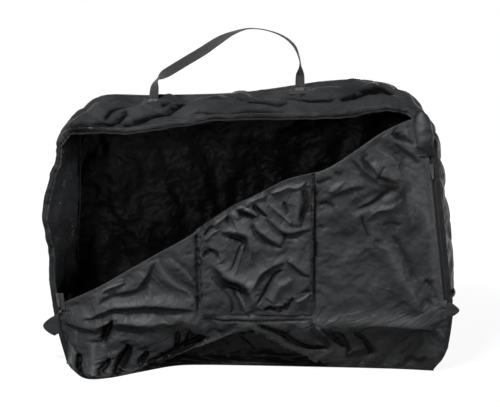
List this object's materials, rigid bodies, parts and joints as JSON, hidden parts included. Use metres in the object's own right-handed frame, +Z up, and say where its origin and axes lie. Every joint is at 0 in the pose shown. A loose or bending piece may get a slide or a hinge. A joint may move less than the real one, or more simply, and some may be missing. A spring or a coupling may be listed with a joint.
{
  "type": "soft bike travel bag",
  "caption": "Light nylon bag that carries a road bike with its wheels off, standing open with its zipped front panel partly dropped, a pack-in pocket and a carry strap.",
  "frame": {"origin": "middle of the base's underside, on the floor, half way between the front and back faces", "axes": "+X along the bag's length to the right seen from the front, -Y out of the zipped front, +Z up to the carry strap"},
  "size_m": [1.2275, 0.4245, 0.9946],
  "materials": {
    "nylon": "coated plain-weave nylon, semi-gloss, crumpled",
    "webbing": "woven flat webbing, matt",
    "tape": "woven zip and binding tape, matt",
    "coil": "nylon coil teeth, satin",
    "metal": "black lacquered zinc, satin"
  },
  "bodies": {
    "bag": {"back_panel": "nylon", "roof_panel": "nylon", "left_gusset": "nylon", "right_gusset": "nylon", "base_panel": "nylon", "front_skirt": "nylon", "back_seam_binding": "tape", "zip_tape_left": "tape", "zip_tape_top": "tape", "zip_tape_right": "tape", "zip_coil_left": "coil", "zip_coil_top": "coil", "zip_coil_right": "coil", "front_zip_tape_left": "tape", "front_zip_coil_left": "coil", "zip_stop_left": "metal", "zip_stop_right": "metal", "zip_end_tab_left": "nylon", "zip_end_tab_right": "nylon", "handle_patch_left": "nylon", "handle_patch_right": "nylon", "strap_tail_left": "webbing", "strap_tail_right": "webbing"},
    "front": {"front_panel": "nylon", "corner_fold": "nylon", "pocket_panel": "nylon", "pocket_binding": "nylon", "front_zip_tape_right": "tape", "front_zip_coil_right": "coil"},
    "tucked_corner": {"tucked_flap": "nylon", "flap_zip_tape": "tape", "flap_zip_coil": "coil"},
    "handle": {"carry_strap": "webbing"},
    "zip_slider_right": {"right_slider": "metal"},
    "zip_pull_right": {"right_pull": "metal"},
    "zip_slider_left": {"left_slider": "metal"},
    "zip_pull_left": {"left_pull": "metal"}
  },
  "joints": [
    {"name": "front_panel_drop", "type": "hinge", "parent": "bag", "child": "front", "pos_m": [0, -0.1316, 0.115], "axis": [1, 0, 0], "range_deg": [0, 95]},
    {"name": "tucked_corner_swing", "type": "hinge", "parent": "front", "child": "tucked_corner", "pos_m": [-0.0279, -0.1604, 0.46491], "axis": [0.8761, 0, 0.4821], "range_deg": [0, 30]},
    {"name": "strap_swing", "type": "hinge", "parent": "bag", "child": "handle", "pos_m": [-0.29248, 0.07177, 0.7847], "axis": [0.9967, 0.0008, 0.0808], "range_deg": [-65, 85]},
    {"name": "right_slider_slide", "type": "slide", "parent": "bag", "child": "zip_slider_right", "axis": [0.1428, 0, -0.9898], "range_m": [0, 0.388]},
    {"name": "right_pull_swing", "type": "hinge", "parent": "zip_slider_right", "child": "zip_pull_right", "pos_m": [0.52673, -0.13395, 0.61685], "axis": [-0.9898, 0, -0.1428], "range_deg": [0, 150]},
    {"name": "left_slider_slide", "type": "slide", "parent": "bag", "child": "zip_slider_left", "axis": [0.1063, 0, -0.9943], "range_m": [0, 0.034]},
    {"name": "left_pull_swing", "type": "hinge", "parent": "zip_slider_left", "child": "zip_pull_left", "pos_m": [-0.56364, -0.13395, 0.21462], "axis": [-0.9943, 0, -0.1063], "range_deg": [0, 150]}
  ],
  "couplings": [
    {"joint": "right_slider_slide", "follows": "front_panel_drop", "m_per_rad": 0.234}
  ]
}
